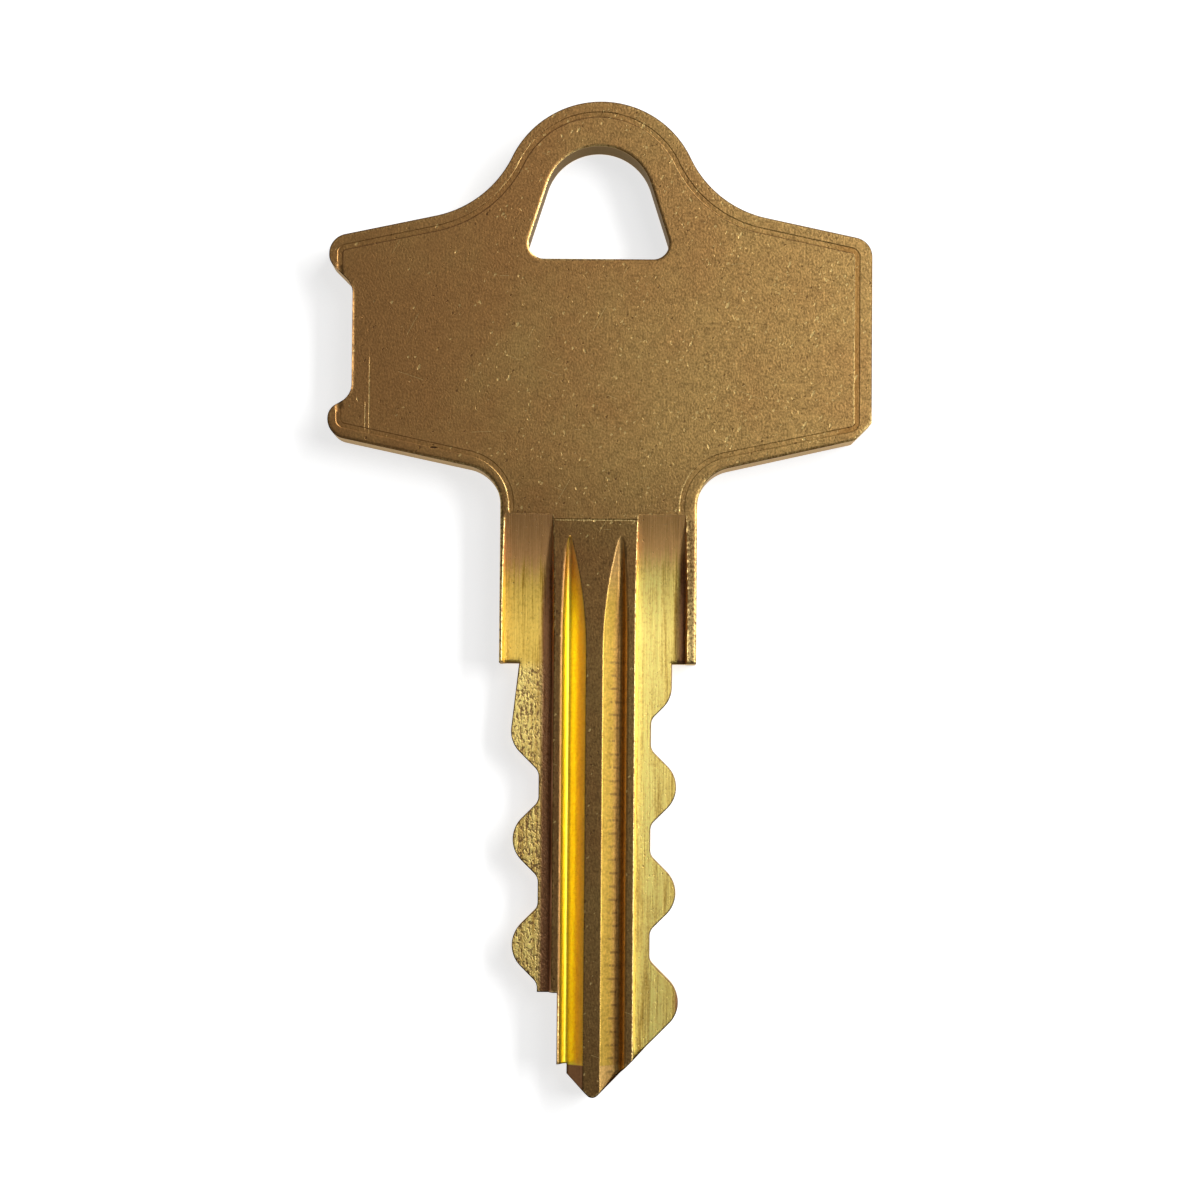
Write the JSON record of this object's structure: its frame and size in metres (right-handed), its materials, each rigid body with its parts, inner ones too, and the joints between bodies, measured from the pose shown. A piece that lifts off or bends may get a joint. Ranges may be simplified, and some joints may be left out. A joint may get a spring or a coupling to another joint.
{
  "type": "key blank",
  "caption": "Flat one-piece key with a winged head, a ring hole in a round loop, a notch in one wing, and a milled blade cut along both edges to fit a lock.",
  "frame": {"origin": "under the middle of the key's box, on its back face: X in the middle of the wings, Y in the middle of the length", "axes": "+Z is the front face's normal, +Y points along the key from the tip to the ring loop, +X to the wing that has no notch"},
  "size_m": [0.0274, 0.0501, 0.0022],
  "materials": {
    "brass": "handled and tarnished, with bright milled flanks"
  },
  "bodies": {
    "root": {"key": "brass"}
  },
  "joints": []
}
